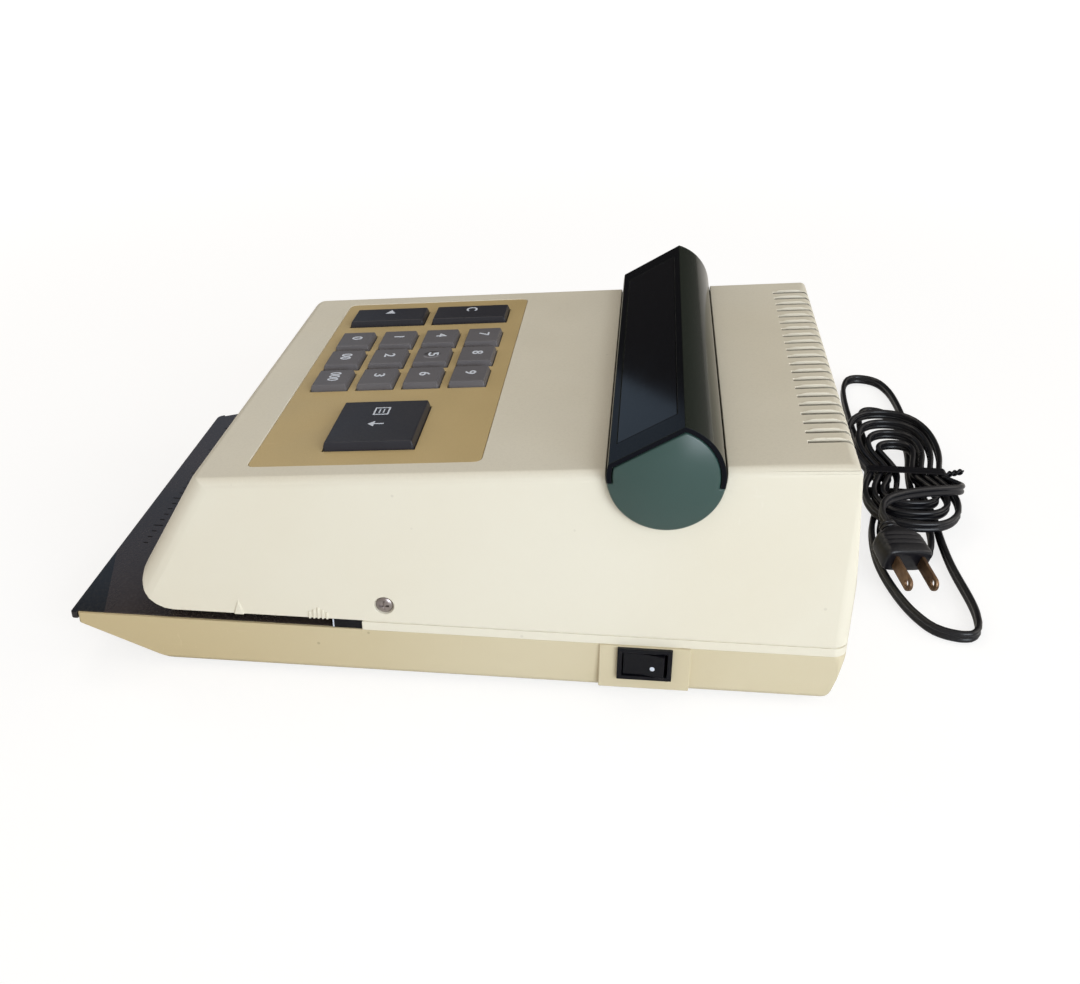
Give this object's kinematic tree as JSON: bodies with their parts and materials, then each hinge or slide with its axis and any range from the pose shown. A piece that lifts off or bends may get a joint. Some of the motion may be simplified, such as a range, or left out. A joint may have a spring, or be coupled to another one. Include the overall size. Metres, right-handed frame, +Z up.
{
  "type": "electronic check writer",
  "caption": "Desktop check writer: wedge-shaped case over a paper table with a slot, low keypad, tilting display drum, internal printing and feeding mechanism, and a tied-up mains cord.",
  "frame": {"origin": "centre of the machine's footprint on the desk, at the undersides of its feet", "axes": "+Z up, -Y towards the operator, +X to the operator's right"},
  "size_m": [0.3253, 0.3816, 0.1182],
  "materials": {
    "ivory_plastic": "fine grained satin, slightly yellowed",
    "tan_plastic": "satin",
    "gold_panel": "satin gold with a dark edge line",
    "black_gloss": "glossy",
    "black_plastic": "satin",
    "black_rubber": "matt",
    "screw_steel": "bright",
    "board_green": "satin",
    "bare_aluminium": "satin",
    "core_steel": "dull",
    "cord_black": "semi-gloss",
    "blade_brass": "tarnished",
    "zinc_steel": "zinc plated",
    "motor_steel": "satin",
    "drum_black": "glossy",
    "dark_window": "glossy, smoked",
    "cap_grey_green": "matt",
    "type_steel": "satin",
    "gear_brass": "satin",
    "ink_rubber": "matt",
    "grey_rubber": "matt",
    "grey_key": "satin",
    "black_key": "satin"
  },
  "bodies": {
    "case": {"upper_case": "ivory_plastic", "case_band": "ivory_plastic", "lower_case": "tan_plastic", "keypad_panel": "gold_panel", "paper_table": "black_gloss", "paper_stop": "black_plastic", "rubber_feet": "black_rubber", "case_screws": "screw_steel", "keypad_board": "board_green", "key_switches": "black_plastic", "display_brackets": "bare_aluminium", "switch_housing": "black_plastic", "transformer": "core_steel", "main_board": "board_green", "cord_strain_relief": "black_rubber", "power_cord_lead": "cord_black", "cord_hank": "cord_black", "power_cord_tail": "cord_black", "cord_tie": "cord_black", "plug_body": "black_rubber", "plug_blades": "blade_brass", "chassis_plate": "zinc_steel", "frame_left": "zinc_steel", "frame_right": "zinc_steel", "spacer_rods": "screw_steel", "type_motor": "motor_steel", "press_solenoid": "motor_steel", "feed_motor": "motor_steel", "idler_bracket": "zinc_steel", "feed_bracket": "zinc_steel"},
    "key_0": {"key_0": "grey_key"},
    "key_1": {"key_1": "grey_key"},
    "key_2": {"key_2": "grey_key"},
    "key_3": {"key_3": "grey_key"},
    "key_4": {"key_4": "grey_key"},
    "key_5": {"key_5": "grey_key"},
    "key_6": {"key_6": "grey_key"},
    "key_7": {"key_7": "grey_key"},
    "key_8": {"key_8": "grey_key"},
    "key_9": {"key_9": "grey_key"},
    "key_00": {"key_00": "grey_key"},
    "key_000": {"key_000": "grey_key"},
    "key_back": {"key_back": "black_key"},
    "key_clear": {"key_clear": "black_key"},
    "key_print": {"key_print": "black_key"},
    "display": {"display_hood": "drum_black", "display_base": "drum_black", "display_window": "dark_window", "display_cap_right": "cap_grey_green", "display_cap_left": "cap_grey_green", "display_module": "board_green"},
    "rocker": {"switch_rocker": "black_plastic"},
    "type_wheel_set": {"type_wheel": "type_steel", "type_shaft": "screw_steel", "type_gear": "gear_brass"},
    "motor_pinion": {"motor_pinion": "gear_brass"},
    "ink_roller": {"ink_roller": "ink_rubber"},
    "platen_lever": {"platen_lever": "zinc_steel"},
    "solenoid_plunger": {"solenoid_plunger": "screw_steel"},
    "feed_roller": {"feed_roller": "grey_rubber"},
    "feed_idler": {"feed_idler": "grey_rubber"}
  },
  "joints": [
    {"name": "key_0_press", "type": "slide", "parent": "case", "child": "key_0", "axis": [0, 0.079, -0.9969], "range_m": [0, 0.002], "stiffness_N_per_m": 400, "springref_m": -0.001},
    {"name": "key_1_press", "type": "slide", "parent": "case", "child": "key_1", "axis": [0, 0.079, -0.9969], "range_m": [0, 0.002], "stiffness_N_per_m": 400, "springref_m": -0.001},
    {"name": "key_2_press", "type": "slide", "parent": "case", "child": "key_2", "axis": [0, 0.079, -0.9969], "range_m": [0, 0.002], "stiffness_N_per_m": 400, "springref_m": -0.001},
    {"name": "key_3_press", "type": "slide", "parent": "case", "child": "key_3", "axis": [0, 0.079, -0.9969], "range_m": [0, 0.002], "stiffness_N_per_m": 400, "springref_m": -0.001},
    {"name": "key_4_press", "type": "slide", "parent": "case", "child": "key_4", "axis": [0, 0.079, -0.9969], "range_m": [0, 0.002], "stiffness_N_per_m": 400, "springref_m": -0.001},
    {"name": "key_5_press", "type": "slide", "parent": "case", "child": "key_5", "axis": [0, 0.079, -0.9969], "range_m": [0, 0.002], "stiffness_N_per_m": 400, "springref_m": -0.001},
    {"name": "key_6_press", "type": "slide", "parent": "case", "child": "key_6", "axis": [0, 0.079, -0.9969], "range_m": [0, 0.002], "stiffness_N_per_m": 400, "springref_m": -0.001},
    {"name": "key_7_press", "type": "slide", "parent": "case", "child": "key_7", "axis": [0, 0.079, -0.9969], "range_m": [0, 0.002], "stiffness_N_per_m": 400, "springref_m": -0.001},
    {"name": "key_8_press", "type": "slide", "parent": "case", "child": "key_8", "axis": [0, 0.079, -0.9969], "range_m": [0, 0.002], "stiffness_N_per_m": 400, "springref_m": -0.001},
    {"name": "key_9_press", "type": "slide", "parent": "case", "child": "key_9", "axis": [0, 0.079, -0.9969], "range_m": [0, 0.002], "stiffness_N_per_m": 400, "springref_m": -0.001},
    {"name": "key_00_press", "type": "slide", "parent": "case", "child": "key_00", "axis": [0, 0.079, -0.9969], "range_m": [0, 0.002], "stiffness_N_per_m": 400, "springref_m": -0.001},
    {"name": "key_000_press", "type": "slide", "parent": "case", "child": "key_000", "axis": [0, 0.079, -0.9969], "range_m": [0, 0.002], "stiffness_N_per_m": 400, "springref_m": -0.001},
    {"name": "key_back_press", "type": "slide", "parent": "case", "child": "key_back", "axis": [0, 0.079, -0.9969], "range_m": [0, 0.002], "stiffness_N_per_m": 400, "springref_m": -0.001},
    {"name": "key_clear_press", "type": "slide", "parent": "case", "child": "key_clear", "axis": [0, 0.079, -0.9969], "range_m": [0, 0.002], "stiffness_N_per_m": 400, "springref_m": -0.001},
    {"name": "key_print_press", "type": "slide", "parent": "case", "child": "key_print", "axis": [0, 0.079, -0.9969], "range_m": [0, 0.002], "stiffness_N_per_m": 400, "springref_m": -0.001},
    {"name": "display_tilt", "type": "hinge", "parent": "case", "child": "display", "pos_m": [0, 0.079, 0.09792], "axis": [1, 0, 0], "range_deg": [-12, 12]},
    {"name": "rocker_turn", "type": "hinge", "parent": "case", "child": "rocker", "pos_m": [0.1002, 0.0753, 0.0165], "axis": [0, 0, 1], "range_deg": [0, 16]},
    {"name": "type_wheel_spin", "type": "hinge", "parent": "case", "child": "type_wheel_set", "pos_m": [0, -0.0823, 0.0475], "axis": [1, 0, 0], "continuous": true},
    {"name": "pinion_spin", "type": "hinge", "parent": "case", "child": "motor_pinion", "pos_m": [0, -0.06317, 0.04583], "axis": [1, 0, 0], "continuous": true},
    {"name": "ink_roller_spin", "type": "hinge", "parent": "case", "child": "ink_roller", "pos_m": [0, -0.06475, 0.06841], "axis": [1, 0, 0], "continuous": true},
    {"name": "platen_lift", "type": "hinge", "parent": "case", "child": "platen_lever", "pos_m": [0, -0.0261, 0.0135], "axis": [-1, 0, 0], "range_deg": [0, 3.5]},
    {"name": "plunger_slide", "type": "slide", "parent": "case", "child": "solenoid_plunger", "axis": [0, 0, -1], "range_m": [0, 0.0022]},
    {"name": "feed_roller_spin", "type": "hinge", "parent": "case", "child": "feed_roller", "pos_m": [0.044, 0, 0.0174], "axis": [0, 1, 0], "continuous": true},
    {"name": "feed_idler_spin", "type": "hinge", "parent": "case", "child": "feed_idler", "pos_m": [0.044, 0, 0.0307], "axis": [0, 1, 0], "continuous": true}
  ],
  "couplings": [
    {"joint": "pinion_spin", "follows": "type_wheel_spin", "ratio": -3},
    {"joint": "ink_roller_spin", "follows": "type_wheel_spin", "ratio": -2.8571},
    {"joint": "plunger_slide", "follows": "platen_lift", "m_per_rad": 0.034},
    {"joint": "feed_idler_spin", "follows": "feed_roller_spin", "ratio": -1}
  ]
}
